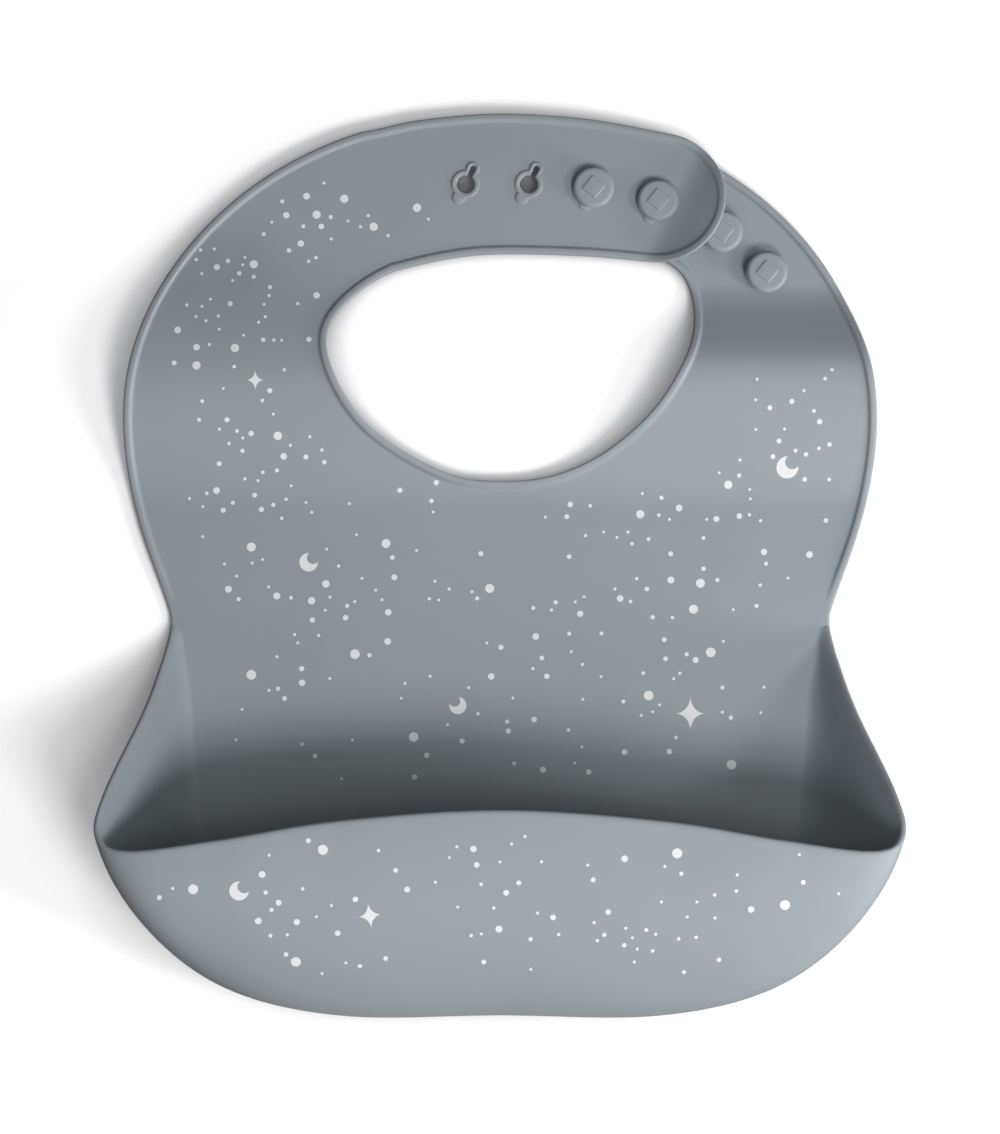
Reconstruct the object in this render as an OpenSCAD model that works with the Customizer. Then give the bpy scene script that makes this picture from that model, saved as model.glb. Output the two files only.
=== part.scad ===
// Silicone baby bib with a catch pocket, fastened at the side of the neck by studs in keyholes.
// It hangs as it is worn: X to the wearer's left, Z up, and the front of the bib faces -Y.
// The origin is the middle of the neck opening, on the plane that the back of the apron lies in.
// Outlines are drawn as [x, z] and made solid by plate(), which grows forward from the back plane.

/* [Sheet] */
// Thickness of the moulded sheet
sheet_t = 1.8; // [1.6:0.1:2]
// Width of the raised edge along the neck, straps and sides
edge_w = 2.4; // [1.6:0.1:3]
// How far the raised edge stands above the front of the sheet
edge_proud = 0.8; // [0.4:0.1:1]

/* [Apron] */
// Half of the width across the chest
chest_half_w = 108.4; // [106:0.1:112]
// Height of the top edge above the widest line of the chest
crown_h = 91.8; // [90:0.1:94]
// Half of the width at the waist
waist_half_w = 95.4; // [94:0.1:98]
// How far the shoulders arch forward of the back plane
shoulder_arch = 10; // [8:0.5:11]

/* [Pocket] */
// Depth of the pocket from the back plane to its lip
pocket_depth = 47; // [42:1:52]
// Height of the rim's middle above the fold at the bottom of the back panel
pocket_h = 39; // [36:1:42]

/* [Fastening] */
// Diameter of a stud's head
head_d = 12; // [11:0.1:12]
// Thickness of a stud's head
head_t = 2; // [1.6:0.1:2.2]
// Diameter of a stud's stem
stem_d = 3.2; // [2.8:0.1:3.3]
// Diameter of a keyhole's round part
keyhole_d = 5.2; // [5:0.1:5.6]
// How far the collar round a keyhole stands above the strap
collar_proud = 0.5; // [0.3:0.1:0.5]

/* [Hidden] */

silicone = [0.55, 0.60, 0.64];
silicone_light = [0.62, 0.67, 0.71];
ink = [0.86, 0.88, 0.90];

slack = 0.1;                        // air between parts that bend against each other
knuckle_r = sheet_t / 2;            // round end of a sheet where it bends
chest_z = -17;                      // widest line of the chest
arch_foot_z = -40;                  // below this line the back of the chest is flat
fold_z = 0;                         // line where the shoulders bend
fold_y = -shoulder_arch - knuckle_r;
flat_z = 25;                        // above this line the straps are flat
bend_z = -60;                       // line where the apron bends
waist_z = -71;                      // narrowest line of the apron
crown_round = 0.97;                 // 1 makes the top edge an ellipse; less makes it fuller
peel_x = -22;                       // line where the keyhole strap bends
lap = 0.2;                          // air between the two straps
strap_back = sheet_t + lap;         // back face of the keyhole strap
strap_front = strap_back + sheet_t;
collar_front = strap_front + collar_proud;
head_back = collar_front + slack;
head_front = head_back + head_t;
tip_c = [46.2, 49.9];               // centre of the keyhole strap's round end
tip_r = 18.7;
button_tip_c = [29, 54.6];          // centre of the button strap's round end
button_tip_r = 16.9;
pad = 4.9;                          // plain square on the face of each stud
pad_proud = 0.25;
pad_tilt = 52;                      // direction of the square's sides, from X
lift = head_front - strap_back + 1.6;  // rise of the strap's end, which rides over the third stud
lift_start = 3;
lift_end = 20;
edge_stop = 2.5;                    // the raised edge ends short of every bend
fold_bottom_z = -163;               // where the back panel turns into the pocket floor
pocket_gap = 0.35;                  // air between the back panel and the pocket walls
shell_n = 4;                        // steps along the pocket between two ribs
far = 300;

// Stations along the straps: two free keyholes, two fastened studs, two free studs
stations = [[-10, 53.8], [8.3, 53.8], [27, 52.8], [45.6, 49.1], [64.1, 40.1], [77, 28.4]];
keyhole_tilt = 64;                  // direction of a keyhole's slot, from X
stud_pull = 0.9;                    // a fastened stud is pulled towards its keyhole's slot
keyholes = [
    for (s = [0:3]) stations[s] - (s < 2 ? 0 : stud_pull) * [cos(keyhole_tilt), sin(keyhole_tilt)]
];
keyhole_slot_w = 1.6;
keyhole_slot_l = 5.05;
collar_r = 4.05;
collar_lobe_r = 1.9;
collar_lobe_low = 4.4;

// Neck opening, counted from its left side along the bottom; the button strap's edge is a little higher
neck_low_points = [[-48.9, 3], [-38, -15.7], [-16, -29.3], [2, -31.8], [18, -29.4], [33, -21.5],
                   [47, -7.5], [55.7, 12]];
neck_points = concat(neck_low_points, [[52, 28], [27, 32.9], [0, 33.6], [-29.6, 28.9], [-46.6, 16.5]]);
button_neck_points = concat(neck_low_points,
                            [[51.5, 29], [29, 37.7], [0, 39], [-29.6, 28.9], [-46.6, 16.5]]);
// Upper and lower edge of the keyhole strap, from its bend to its round end
strap_top_points = [[peel_x, 72.5], [0, 74.2], [25, 72.7], [tip_c[0], tip_c[1] + tip_r]];
strap_low_points = [[peel_x, 30.9], [0, 33.6], [25, 33.1], [tip_c[0], tip_c[1] - tip_r]];

// Ribs of the pocket shell, from the middle of the bottom round to the top of one side.
// Each is a cubic curve: start on the back plane [x, z], its length outward in that plane,
// the end on the rim [x, depth share, z], and the curve's handle at the rim [x, y, z].
rim_z = fold_bottom_z + pocket_h;
ribs = [
    [[0, fold_bottom_z], 34, [0, 1, rim_z], [0, 4, -72]],
    [[40, fold_bottom_z], 35, [45, 1, rim_z - 3], [-1, 4, -68]],
    [[64, fold_bottom_z + 2.5], 29.6, [78, 1.005, rim_z - 8.3], [-2, 4, -56]],
    [[77, fold_bottom_z + 11], 22, [103.9, 0.99, rim_z - 11.4], [-9.4, 3.5, -41]],
    [[84, fold_bottom_z + 25], 13, [112.8, 0.9, rim_z - 7], [-4.7, 7, -23]],
    [[87.3, fold_bottom_z + 45], 8, [111.4, 0.75, rim_z + 4], [-8, 11, -6]],
    [[89.5, fold_bottom_z + 68], 4, [102.2, 0.38, rim_z + 26], [-5, 6, -1]],
    [[92.6, waist_z - 4.5], 1.4, [96.5, 0.06, waist_z - 5], [-1.2, 0.8, 0]]
];
rib_last = len(ribs) - 1;

function mirrored(r) = [[-r[0][0], r[0][1]], r[1], [-r[2][0], r[2][1], r[2][2]],
                        [-r[3][0], r[3][1], r[3][2]]];

// The mirror image of the second rib before the first one keeps the middle of the pocket smooth
rib_row = concat([mirrored(ribs[1])], ribs);
gusset_from = 3.5;                  // ribs from here up are the side gussets
wall_from = 0.66;                   // share of a rib from which it belongs to the front wall

// ---- Curves ----

function hermite(a, b, ta, tb, u) =
    (2 * u ^ 3 - 3 * u ^ 2 + 1) * a + (u ^ 3 - 2 * u ^ 2 + u) * ta
    + (3 * u ^ 2 - 2 * u ^ 3) * b + (u ^ 3 - u ^ 2) * tb;

function wrap(p, i) = p[(i + len(p)) % len(p)];

// A closed smooth curve through the points
function loop_curve(p, n) = [
    for (i = [0:len(p) - 1], k = [0:n - 1])
        hermite(p[i], wrap(p, i + 1), (wrap(p, i + 1) - wrap(p, i - 1)) / 2,
                (wrap(p, i + 2) - p[i]) / 2, k / n)
];

function clamped(p, i) = p[max(0, min(len(p) - 1, i))];

// The value at place s along an open smooth curve through the points
function along(p, s) =
    let (i = min(floor(s), len(p) - 2), u = s - i)
    hermite(p[i], p[i + 1], (p[i + 1] - clamped(p, i - 1)) / 2,
            (clamped(p, i + 2) - p[i]) / 2, u);

function bezier(p, t) =
    (1 - t) ^ 3 * p[0] + 3 * (1 - t) ^ 2 * t * p[1] + 3 * (1 - t) * t ^ 2 * p[2] + t ^ 3 * p[3];

function ease(u) = let (v = max(0, min(1, u))) v * v * (3 - 2 * v);

// ---- Outlines, as [x, z] ----

// Right edge of the chest from the widest line down to the waist, drawn in by inset
function side_curve(inset) = [
    for (k = [0:16])
        bezier([[chest_half_w - inset, chest_z], [chest_half_w - inset, chest_z - 24],
                [waist_half_w + 4.2 - inset, waist_z + 15], [waist_half_w - inset, waist_z]], k / 16)
];

function flipped(p) = [for (i = [len(p) - 1:-1:0]) [-p[i][0], p[i][1]]];
function reversed(p) = [for (i = [len(p) - 1:-1:0]) p[i]];

function crown_arc(inset) = [
    for (k = [1:59])
        let (x = abs(cos(3 * k)), flip = k > 30 ? -1 : 1)
            [flip * (chest_half_w - inset) * pow(x, crown_round),
             chest_z + (crown_h - inset) * pow(sin(3 * k), crown_round)]
];

module apron_outline(inset = 0) {
    side = reversed(side_curve(inset));
    polygon(concat(side, crown_arc(inset), flipped(side)));
}

module neck_outline(points, grow = 0) {
    middle = [3.2, 1];
    polygon([for (q = loop_curve(points, 6)) q + grow * (q - middle) / norm(q - middle)]);
}

module ring(points, inset = 0) {
    difference() {
        apron_outline(inset);
        neck_outline(points, inset);
    }
}

// The part of the children between two heights and two sides
module window(x0, x1, z0, z1) {
    intersection() {
        children();
        translate([x0, z0]) square([x1 - x0, z1 - z0]);
    }
}

function strap_edge(points, shift, n) = [
    for (k = [0:n]) along(points, k * (len(points) - 1) / n) + [0, shift]
];

module strap_outline(inset = 0) {
    end_arc = [for (a = [84:-6:-84]) tip_c + (tip_r - inset) * [cos(a), sin(a)]];
    polygon(concat(strap_edge(strap_top_points, -inset, 18), end_arc,
                   reversed(strap_edge(strap_low_points, inset, 18))));
}

module button_strap_outline(inset = 0) {
    window(button_tip_c[0], far, flat_z, far) ring(button_neck_points, inset);
    translate(button_tip_c) circle(r = button_tip_r - inset, $fn = 64);
}

// ---- Solids from outlines ----

module plate(back, thick) {
    translate([0, -back, 0]) rotate([90, 0, 0]) linear_extrude(thick) children();
}

// How far forward of the back plane the back of the sheet lies at height z;
// top is the same for the flat part of the strap above the shoulder
function arch(z, top) =
    z < fold_z ? shoulder_arch * ease((z - arch_foot_z) / (fold_z - arch_foot_z))
               : top + (shoulder_arch - top) * (1 - ease((z - fold_z) / (flat_z - fold_z)));

// A sheet between two heights whose side view follows the arch, as wide as far
module arched(z0, z1, thick, top) {
    n = 24;
    bend0 = max(z0, arch_foot_z);
    bend1 = min(z1, flat_z);
    zs = concat(z0 < bend0 ? [z0] : [], [for (k = [0:n]) bend0 + (bend1 - bend0) * k / n],
                z1 > bend1 ? [z1] : []);
    back = [for (z = zs) [-arch(z, top), z]];
    front = [for (q = reversed(back)) q - [thick, 0]];
    rotate([90, 0, 90]) translate([0, 0, -far / 2]) linear_extrude(far) polygon(concat(back, front));
}

// A sheet with its raised edge: child 0 is the outline, child 1 the outline inside the edge
module arched_piece(z0, z1, stop0, stop1, top) {
    intersection() {
        arched(z0, z1, sheet_t, top);
        plate(-far / 2, far) children(0);
    }
    intersection() {
        arched(z0 + stop0, z1 - stop1, sheet_t + edge_proud, top);
        plate(-far / 2, far) difference() {
            children(0);
            children(1);
        }
    }
}

// The round end of a sheet that bends about the X line through y and z
module knuckle_x(y, z) {
    intersection() {
        translate([0, y, z]) rotate([0, 90, 0]) cylinder(r = knuckle_r, h = far, center = true, $fn = 32);
        plate(-far / 2, far) children();
    }
}

// ---- Root: the chest ----

module chest_panel() {
    foot = bend_z + knuckle_r + slack;
    head = fold_z - knuckle_r - slack;
    color(silicone) arched_piece(foot, head, edge_stop, edge_stop, 0) {
        ring(neck_points);
        ring(neck_points, edge_w);
    }
}

// ---- Left shoulder and keyhole strap ----

module left_shoulder() {
    end_x = peel_x - knuckle_r - slack;
    color(silicone) {
        arched_piece(fold_z, crown_h, edge_stop, 0, strap_back) {
            window(-far, end_x, -far, far) ring(neck_points);
            union() {
                window(-far, end_x, -far, far) ring(neck_points, edge_w);
                translate([end_x - edge_stop, -far]) square([edge_stop + 1, 2 * far]);
            }
        }
        knuckle_x(fold_y, fold_z) window(-far, 0, fold_z - edge_w, fold_z + edge_w)
            ring(neck_points);
    }
}

// A strap whose end rises forward along the line from the second to the third stud
module lifted_sheet(back, thick) {
    from = stations[3];
    slope = atan2(stations[4][1] - from[1], stations[4][0] - from[0]);
    reach = 40;
    n = 16;
    us = concat([-far / 2], [for (k = [0:n]) lift_start + (lift_end - lift_start) * k / n], [reach]);
    rise = [for (u = us) [u, -back - lift * ease((u - lift_start) / (lift_end - lift_start))]];
    front = [for (q = reversed(rise)) q - [0, thick]];
    translate([from[0], 0, from[1]]) rotate([0, -slope, 0]) translate([0, 0, -far / 2])
        linear_extrude(far) polygon(concat(rise, front));
}

module keyhole_2d() {
    circle(d = keyhole_d, $fn = 48);
    rotate(keyhole_tilt) translate([0, -keyhole_slot_w / 2]) square([keyhole_slot_l, keyhole_slot_w]);
    rotate(keyhole_tilt) translate([keyhole_slot_l, 0]) circle(d = keyhole_slot_w, $fn = 24);
}

module collar_2d() {
    circle(r = collar_r, $fn = 48);
    rotate(keyhole_tilt) translate([keyhole_slot_l, 0]) circle(r = collar_lobe_r, $fn = 32);
    rotate(keyhole_tilt) translate([-collar_lobe_low, 0]) circle(r = collar_lobe_r, $fn = 32);
}

module keyhole_strap() {
    color(silicone) {
        intersection() {
            lifted_sheet(strap_back, sheet_t);
            plate(-far / 2, far) difference() {
                strap_outline();
                for (q = keyholes) translate(q) collar_2d();
            }
        }
        intersection() {
            lifted_sheet(strap_back, sheet_t + edge_proud);
            plate(-far / 2, far) difference() {
                window(peel_x + edge_stop, far, 0, far) strap_outline();
                strap_outline(edge_w);
            }
        }
        intersection() {
            translate([peel_x, -strap_back - knuckle_r, 0]) cylinder(r = knuckle_r, h = far, $fn = 32);
            translate([peel_x - edge_w, -far / 2, strap_low_points[0][1]])
                cube([2 * edge_w, far, strap_top_points[0][1] - strap_low_points[0][1]]);
        }
    }
}

module keyhole_collars() {
    color(silicone_light)
        for (q = keyholes)
            plate(strap_back, sheet_t + collar_proud) translate(q) difference() {
                collar_2d();
                keyhole_2d();
            }
}

// ---- Right shoulder, button strap and studs ----

module right_shoulder() {
    color(silicone) {
        arched_piece(fold_z, flat_z, edge_stop, 0, 0) {
            window(0, far, -far, far) ring(button_neck_points);
            window(0, far, -far, far) ring(button_neck_points, edge_w);
        }
        knuckle_x(fold_y, fold_z) window(0, far, fold_z - edge_w, fold_z + edge_w)
            ring(button_neck_points);
    }
}

module button_strap() {
    color(silicone) plate(0, sheet_t) button_strap_outline();
}

// One stud: stem, head with a softened rim, and a plain square pad on its face
module stud(station) {
    soft = 0.5;
    color(silicone_light) translate([station[0], 0, station[1]]) rotate([90, 0, 0]) {
        translate([0, 0, sheet_t]) cylinder(d = stem_d, h = head_back + soft - sheet_t, $fn = 48);
        translate([0, 0, head_back]) rotate_extrude($fn = 64)
            polygon([[0, 0], [head_d / 2 - soft, 0], [head_d / 2, soft], [head_d / 2, head_t - soft],
                     [head_d / 2 - soft, head_t], [0, head_t]]);
        rotate(pad_tilt) translate([-pad / 2, -pad / 2, head_front - soft])
            cube([pad, pad, soft + pad_proud]);
    }
}

module closure_button_1() { stud(stations[2]); }
module closure_button_2() { stud(stations[3]); }
module closure_button_3() { stud(stations[4]); }
module closure_button_4() { stud(stations[5]); }

// ---- Lower apron ----

function rib_start(s) = along([for (r = rib_row) r[0]], s + 1);

// Line where the back panel meets the pocket, from the bottom round to the top of the right side
function crease(gap) = [
    for (k = [0:rib_last * shell_n])
        let (s = k / shell_n) rib_start(s) - gap * rib_outward(s)
];

function rib_outward(s) =
    let (d = rib_start(min(rib_last, s + 0.05)) - rib_start(s - 0.05),
         v = [d[1], -d[0]])
    v / norm(v);

module panel_outline(gap) {
    side = concat(crease(gap), [[waist_half_w, waist_z - 2], [waist_half_w, waist_z]]);
    polygon(concat(side, flipped(side)));
    window(-far, far, waist_z, bend_z) apron_outline();
}

module lower_panel() {
    color(silicone) {
        plate(0, sheet_t) panel_outline(pocket_gap);
        intersection() {
            translate([0, -knuckle_r, bend_z]) rotate([0, 90, 0])
                cylinder(r = knuckle_r, h = far, center = true, $fn = 32);
            plate(-far / 2, far) apron_outline();
        }
    }
}

// ---- Printed motifs: an ink film on the front of the sheet ----

ink_t = 0.1;

module star_2d(r) {
    polygon([for (k = [0:7]) (k % 2 == 0 ? r : r * 0.3) * [cos(45 * k), sin(45 * k)]]);
}

module moon_2d(r) {
    difference() {
        circle(r = r, $fn = 40);
        translate([r * 0.55, r * 0.45]) circle(r = r * 0.85, $fn = 40);
    }
}

module dots_2d(seed, count, x_max, z0, z1) {
    xs = rands(-x_max, x_max, count, seed);
    zs = rands(z0, z1, count, seed + 1);
    rs = rands(0.4, 1.2, count, seed + 2);
    for (k = [0:count - 1]) translate([xs[k], zs[k]]) circle(r = rs[k], $fn = 16);
}

module chest_print() {
    color(ink) plate(sheet_t, ink_t) {
        dots_2d(11, 16, 84, -56, -43);
        translate([-55.4, -55.4]) moon_2d(2.6);
    }
}

module apron_print() {
    color(ink) plate(sheet_t, ink_t) {
        dots_2d(21, 24, 78, -115, -64);
        translate([-12.2, -96.9]) moon_2d(2.6);
        translate([55.1, -99.2]) star_2d(4.4);
    }
}

// ---- Pocket ----

// The four control points of the rib at place s; negative s is the left half
function rib_controls(s) =
    let (a = abs(s),
         side = s < 0 ? -1 : 1,
         p0 = rib_start(a),
         out = rib_outward(a) * along([for (r = rib_row) r[1]], a + 1),
         p3 = along([for (r = rib_row) [r[2][0], -r[2][1] * pocket_depth, r[2][2]]], a + 1),
         handle = along([for (r = rib_row) r[3]], a + 1),
         flip = [side, 1, 1],
         points = [[p0[0], 0, p0[1]], [p0[0] + out[0], 0, p0[1] + out[1]], p3 + handle, p3])
    [for (q = points) [q[0] * flip[0], q[1], q[2]]];

function shell_point(s, t) = bezier(rib_controls(s), t);

// Direction from the outside of the pocket to its inside
function shell_inward(s, t) =
    let (e = 0.01,
         ds = shell_point(min(rib_last, s + e), t) - shell_point(max(-rib_last, s - e), t),
         dt = shell_point(s, min(1, t + e)) - shell_point(s, max(0, t - e)),
         n = cross(dt, ds))
    n / norm(n);

// A closed piece of the pocket's shell between two places along it and two shares of the ribs
module shell(s0, s1, t0, t1, ns, nt) {
    grid = [for (i = [0:ns], j = [0:nt]) [s0 + (s1 - s0) * i / ns, t0 + (t1 - t0) * j / nt]];
    outer = [for (g = grid) shell_point(g[0], g[1])];
    inner = [for (g = grid) shell_point(g[0], g[1]) + sheet_t * shell_inward(g[0], g[1])];
    w = nt + 1;
    m = len(grid);
    skin = [for (i = [0:ns - 1], j = [0:nt - 1])
                let (a = i * w + j) each [[a, a + 1, a + w + 1, a + w],
                                          [m + a, m + a + w, m + a + w + 1, m + a + 1]]];
    ends = [for (j = [0:nt - 1]) each [[j, m + j, m + j + 1, j + 1],
                                       [ns * w + j, ns * w + j + 1, m + ns * w + j + 1, m + ns * w + j]]];
    edges = [for (i = [0:ns - 1]) each [[i * w, (i + 1) * w, m + (i + 1) * w, m + i * w],
                                        [i * w + nt, m + i * w + nt, m + (i + 1) * w + nt, (i + 1) * w + nt]]];
    polyhedron(concat(outer, inner), concat(skin, ends, edges), convexity = 6);
}

seam_s = 0.012;                     // share of a rib step left free between two pieces
seam_t = 0.0006;
rim_share = 0.965;                  // the walls end here and the rim begins

module pocket_front_wall() {
    color(silicone_light)
        shell(-gusset_from, gusset_from, wall_from + seam_t, rim_share, 2 * gusset_from * shell_n, 5);
}

module pocket_floor() {
    color(silicone)
        shell(-gusset_from, gusset_from, 0, wall_from - seam_t, 2 * gusset_from * shell_n, 8);
}

module right_gusset() {
    color(silicone) shell(gusset_from + seam_s, rib_last, 0, rim_share, 14, 8);
}

module left_gusset() {
    color(silicone) shell(-rib_last, -gusset_from - seam_s, 0, rim_share, 14, 8);
}

module pocket_rim() {
    color(silicone_light) shell(-rib_last, rib_last, rim_share + seam_t, 1, 56, 1);
}

chest_panel();
chest_print();
left_shoulder();
keyhole_strap();
keyhole_collars();
right_shoulder();
button_strap();
closure_button_1();
closure_button_2();
closure_button_3();
closure_button_4();
lower_panel();
apron_print();
pocket_front_wall();
pocket_floor();
left_gusset();
right_gusset();
pocket_rim();
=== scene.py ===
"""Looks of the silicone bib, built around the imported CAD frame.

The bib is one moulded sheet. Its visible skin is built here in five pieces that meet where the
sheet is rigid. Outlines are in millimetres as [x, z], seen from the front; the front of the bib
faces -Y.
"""

import math
import random

import bmesh
import bpy
import numpy as np
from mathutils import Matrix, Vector
from mathutils.bvhtree import BVHTree


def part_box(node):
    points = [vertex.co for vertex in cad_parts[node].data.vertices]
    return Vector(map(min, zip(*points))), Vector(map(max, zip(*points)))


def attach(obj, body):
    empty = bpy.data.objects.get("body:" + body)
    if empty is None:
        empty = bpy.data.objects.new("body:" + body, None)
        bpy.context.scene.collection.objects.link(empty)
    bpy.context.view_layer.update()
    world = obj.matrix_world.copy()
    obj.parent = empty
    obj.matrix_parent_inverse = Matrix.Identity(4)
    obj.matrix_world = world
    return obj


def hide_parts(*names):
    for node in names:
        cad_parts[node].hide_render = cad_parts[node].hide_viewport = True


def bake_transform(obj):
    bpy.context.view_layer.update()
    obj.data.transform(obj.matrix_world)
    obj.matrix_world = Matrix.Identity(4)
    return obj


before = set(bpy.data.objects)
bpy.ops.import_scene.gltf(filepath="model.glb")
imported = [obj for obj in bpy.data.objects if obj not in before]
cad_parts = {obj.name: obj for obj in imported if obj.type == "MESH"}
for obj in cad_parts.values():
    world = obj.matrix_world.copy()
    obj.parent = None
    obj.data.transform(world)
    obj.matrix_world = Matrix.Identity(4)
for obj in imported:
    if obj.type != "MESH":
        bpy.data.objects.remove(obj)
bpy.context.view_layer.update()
MM = 0.001


def box_mm(node):
    low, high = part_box(node)
    return np.array(low) / MM, np.array(high) / MM


# ---- Dimensions in millimetres ----

CHEST_LOW, _ = box_mm("chest_panel")
PANEL_LOW, PANEL_HIGH = box_mm("lower_panel")
_, STRAP_HIGH = box_mm("keyhole_strap")

# The sheet, its raised edge, and how far in from the edge the edge's section ends
SHEET = PANEL_HIGH[1] - PANEL_LOW[1]
EDGE_W = 2.4
EDGE_PROUD = 0.8
EDGE_REACH = 3.2

# The outline: the round top, the waist and the pocket's floor
HALF_W = 108.4
CROWN_Z = -17.0
CROWN_H = 91.8
CROWN_ROUND = 0.97
WAIST_HALF_W = 95.4
WAIST_Z = -71.0
FLOOR_Z = -163.0

# The shoulders' arch off the table, highest at the neck fold
ARCH = -CHEST_LOW[1] - SHEET - EDGE_PROUD
ARCH_FOOT_Z = -40.0
FOLD_Z = 0.0
FLAT_Z = 25.0
STRAP_BACK = -STRAP_HIGH[1]

# The waist's bend, the seam of the arms and the chest, and the seam of the chest and the pocket
SEAM_Z = -45.0
LAP_Z = -74.0

# The round ends of the two straps
TIP_R = 18.7
TIP_C = np.array([46.2, 49.9])
BUTTON_TIP_R = 16.9
BUTTON_TIP_C = np.array([29.0, 54.6])

# The keyhole strap's rise over the third stud, along the line of the studs
LIFT = 6.0
LIFT_START = 3.0
LIFT_END = 20.0

# Where the keyhole strap's own edges leave the neck opening and the round top
STRAP_LOW_START = (-29.6, 28.9)
STRAP_TOP_START = (-36, 69.6)

# The neck opening, closed at the top by the keyhole strap or by the button strap, and its middle
NECK_LOW = [(-48.9, 3), (-38, -15.7), (-16, -29.3), (2, -31.8), (18, -29.4), (33, -21.5), (47, -7.5),
            (55.7, 12)]
NECK_LEFT = [STRAP_LOW_START, (-46.6, 16.5)]
NECK = NECK_LOW + [(52, 28), (27, 32.9), (0, 33.6)] + NECK_LEFT
BUTTON_NECK = NECK_LOW + [(51.5, 29), (29, 37.7), (0, 39)] + NECK_LEFT
NECK_C = np.array([3.0, 2.0])


def centre_mm(node):
    low, high = box_mm(node)
    return ((low + high) / 2)[[0, 2]]


# The studs and the keyholes; the two fastened keyholes are pulled along their slots
STUD_NUMBERS = (1, 2, 3, 4)
STUDS = [centre_mm(f"closure_button_{k}") for k in STUD_NUMBERS]
KEYHOLE_TILT = math.radians(64)
PULL = 0.9 * np.array([math.cos(KEYHOLE_TILT), math.sin(KEYHOLE_TILT)])
KEYHOLES = [np.array([-10, 53.8]), np.array([8.3, 53.8]), STUDS[0] - PULL, STUDS[1] - PULL]
PAD_TILT = math.radians(52)


# ---- Curves ----

def ease(u):
    """A smooth step from 0 to 1 as u goes from 0 to 1."""
    v = np.clip(u, 0, 1)
    return v * v * (3 - 2 * v)


def hermite(a, b, ta, tb, u):
    """The place u on a cubic from a to b that leaves along ta and arrives along tb."""
    return ((2 * u**3 - 3 * u**2 + 1) * a + (u**3 - 2 * u**2 + u) * ta
            + (3 * u**2 - 2 * u**3) * b + (u**3 - u**2) * tb)


def along(points, s):
    """The value at place s along an open smooth curve through the points."""
    p = [np.asarray(q, float) for q in points]
    i = int(min(math.floor(s), len(p) - 2))
    before = p[max(0, i - 1)]
    after = p[min(len(p) - 1, i + 2)]
    return hermite(p[i], p[i + 1], (p[i + 1] - before) / 2, (after - p[i]) / 2, s - i)


def loop_curve(points, n):
    """A smooth closed curve, with n steps from each point to the next."""
    p = [np.asarray(q, float) for q in points]
    m = len(p)
    return np.array([
        hermite(p[i], p[(i + 1) % m], (p[(i + 1) % m] - p[i - 1]) / 2, (p[(i + 2) % m] - p[i]) / 2, k / n)
        for i in range(m) for k in range(n)
    ])


def open_curve(points, n):
    """A smooth open curve, with n steps from each point to the next."""
    count = (len(points) - 1) * n
    return np.array([along(points, k / n) for k in range(count + 1)])


def bezier(p, t):
    return (1 - t)**3 * p[0] + 3 * (1 - t)**2 * t * p[1] + 3 * (1 - t) * t**2 * p[2] + t**3 * p[3]


def half_width(z):
    """Half of the apron's width at height z, for any z from the waist to the widest line."""
    p = [np.array(q, float) for q in ((HALF_W, CROWN_Z), (HALF_W, CROWN_Z - 24),
                                      (WAIST_HALF_W + 4.2, WAIST_Z + 15), (WAIST_HALF_W, WAIST_Z))]
    if z <= WAIST_Z:
        return WAIST_HALF_W
    low, high = 0.0, 1.0
    for _ in range(40):
        mid = (low + high) / 2
        if bezier(p, mid)[1] > z:
            low = mid
        else:
            high = mid
    return bezier(p, low)[0]


def ray_hit(poly, centre, angle):
    """The furthest point of the polyline that a ray from centre meets."""
    d = np.array([math.cos(angle), math.sin(angle)])
    best = None
    for a, b in zip(poly[:-1], poly[1:]):
        e = b - a
        det = d[0] * -e[1] + d[1] * e[0]
        if abs(det) < 1e-12:
            continue
        w = a - centre
        r = (w[0] * -e[1] + w[1] * e[0]) / det
        u = (d[0] * w[1] - d[1] * w[0]) / det
        if r > 0 and -1e-9 <= u <= 1 + 1e-9 and (best is None or r > best):
            best = r
    return centre + best * d


def angle_of(point):
    return math.atan2(point[1] - NECK_C[1], point[0] - NECK_C[0])


def resample(poly, n):
    """n + 1 points evenly spaced along a polyline."""
    steps = np.r_[0, np.cumsum(np.linalg.norm(np.diff(poly, axis=0), axis=1))]
    at = np.linspace(0, steps[-1], n + 1)
    return np.c_[np.interp(at, steps, poly[:, 0]), np.interp(at, steps, poly[:, 1])]


# ---- The sheet's shape ----

def arch(z, top, flat=FLAT_Z):
    """Height of the back face: up from the foot to the fold, then to the height top at flat."""
    below = ARCH * ease((z - ARCH_FOOT_Z) / (FOLD_Z - ARCH_FOOT_Z))
    above = top + (ARCH - top) * (1 - ease((z - FOLD_Z) / (flat - FOLD_Z)))
    return below if z < FOLD_Z else above


def strap_lift(x, z):
    """The keyhole strap's end rises over the third stud."""
    line = STUDS[2] - STUDS[1]
    u = (np.array([x, z]) - STUDS[1]) @ (line / np.linalg.norm(line))
    return LIFT * ease((u - LIFT_START) / (LIFT_END - LIFT_START))


def back_of_left(x, z):
    """Height of the left arm's and the keyhole strap's back face.

    The slope above the shoulder is longer on the outer side of the arm.
    """
    flat = FLAT_Z + 22 * float(ease((-x - 28) / 45))
    return arch(z, STRAP_BACK, flat) + (strap_lift(x, z) if z > FLAT_Z and x > 0 else 0)


def back_of_right(x, z):
    """Height of the back face of the right arm and the chest."""
    return arch(z, 0)


def full_edge(x, z):
    """The raised edge's height; it dies out towards the waist."""
    return EDGE_PROUD * float(ease((z - (WAIST_Z + 2)) / 16))


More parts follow.
